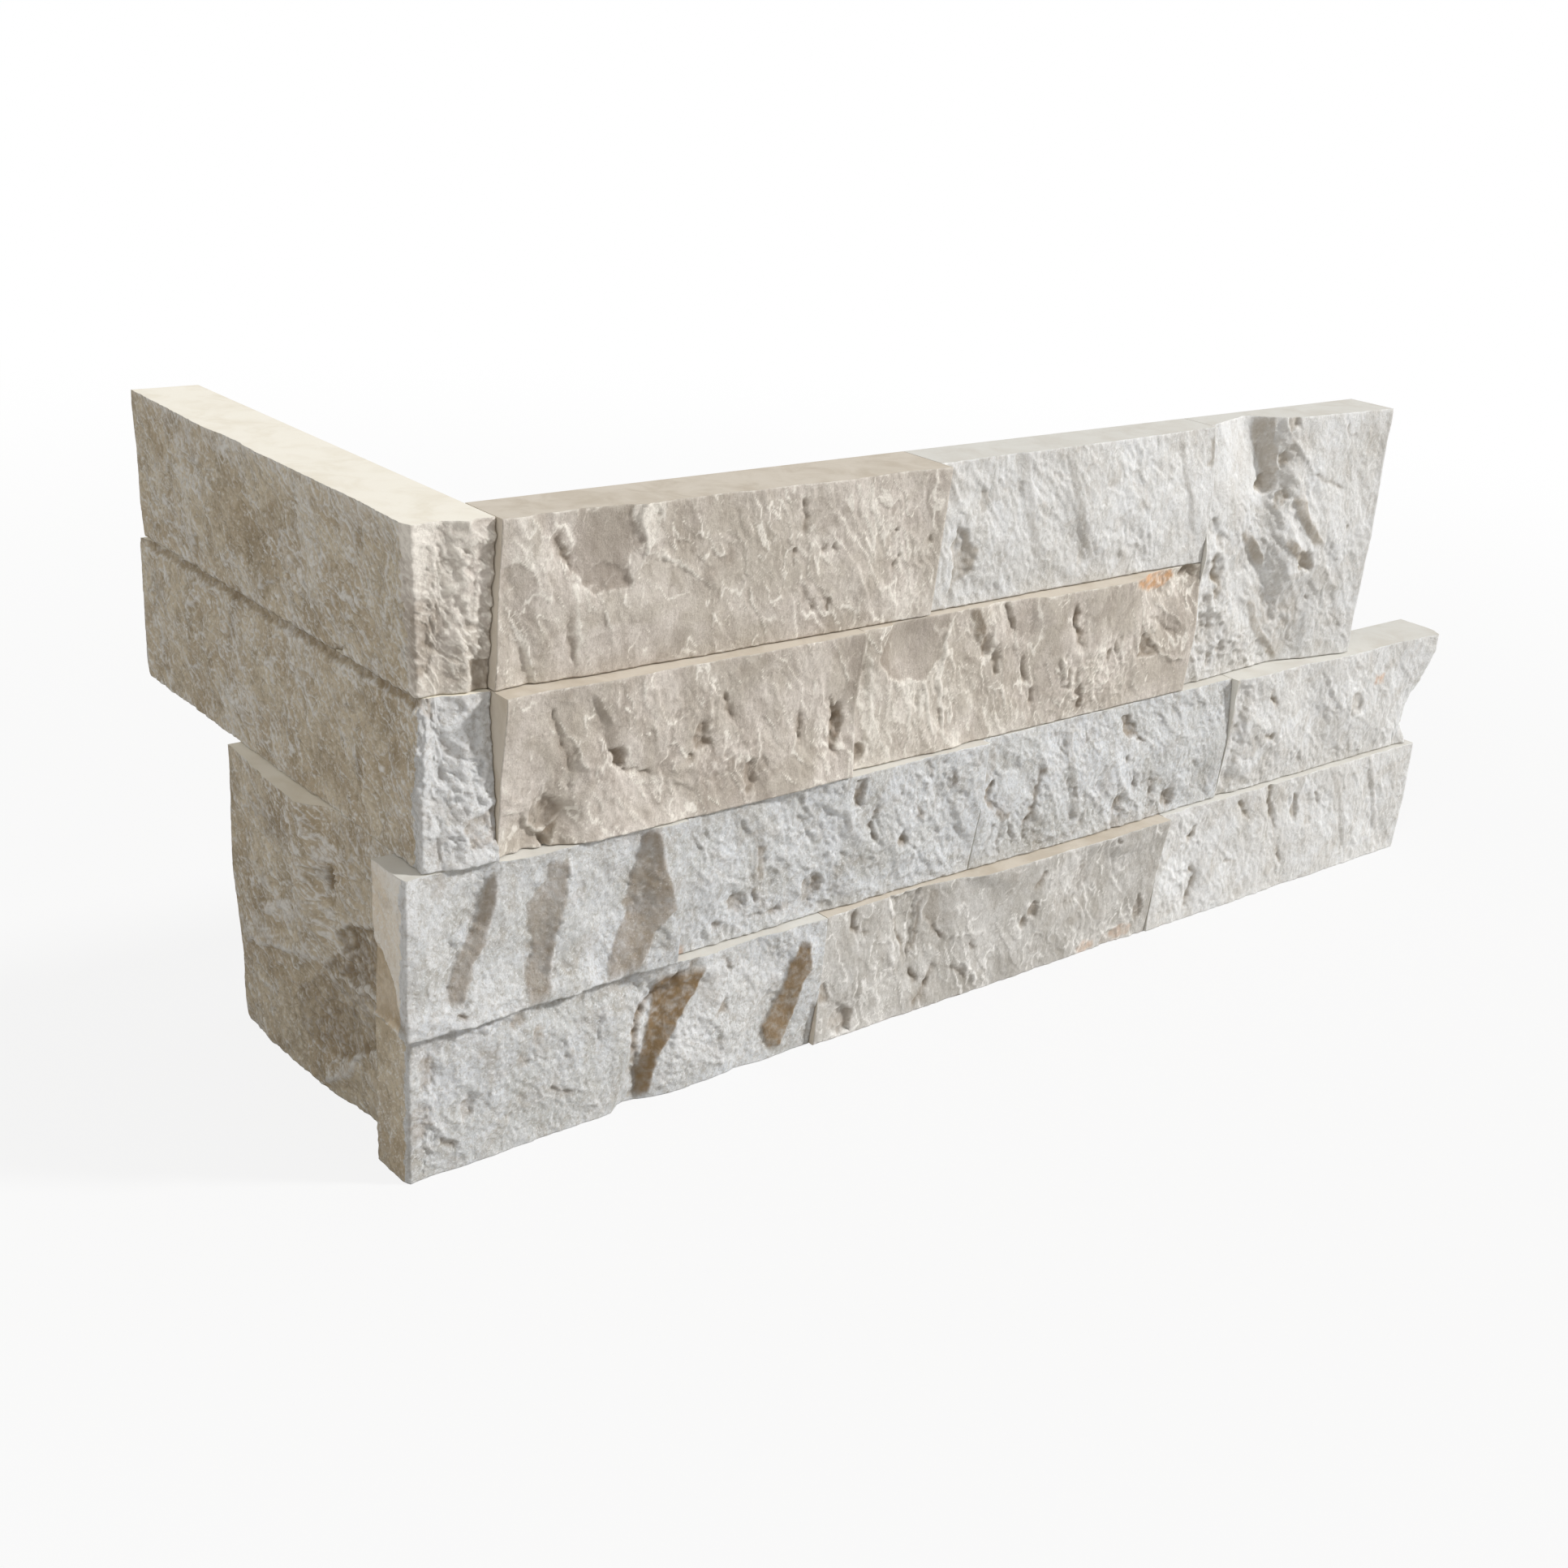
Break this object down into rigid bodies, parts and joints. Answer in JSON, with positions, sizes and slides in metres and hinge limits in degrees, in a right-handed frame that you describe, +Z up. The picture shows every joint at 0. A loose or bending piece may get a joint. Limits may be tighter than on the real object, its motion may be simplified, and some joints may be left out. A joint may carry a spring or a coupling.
{
  "type": "ledger stone corner piece",
  "caption": "Outside corner piece of stacked ledger stone: split strips laid in courses and joined into an L, with stepped ends that interlock with the next panels.",
  "frame": {"origin": "middle of the footprint's bounding box, at the bottom bed", "axes": "+Z up; the long leg runs along +X with its split face towards -Y; the short leg runs along +Y with its split face towards -X"},
  "size_m": [0.3728, 0.1482, 0.1501],
  "materials": {
    "pale_grey_stone": "split face",
    "beige_stone": "split face",
    "taupe_stone": "split face"
  },
  "bodies": {
    "root": {"top_middle_stone": "pale_grey_stone", "tall_stone": "pale_grey_stone", "third_corner_stone": "pale_grey_stone", "third_left_stone": "pale_grey_stone", "third_right_stone": "pale_grey_stone", "third_end_stone": "pale_grey_stone", "bottom_corner_stone": "pale_grey_stone", "bottom_end_stone": "pale_grey_stone", "top_left_stone": "beige_stone", "second_left_stone": "beige_stone", "second_right_stone": "beige_stone", "bottom_middle_stone": "beige_stone", "top_return_strip": "taupe_stone", "second_return_strip": "taupe_stone", "return_block": "taupe_stone"}
  },
  "joints": []
}
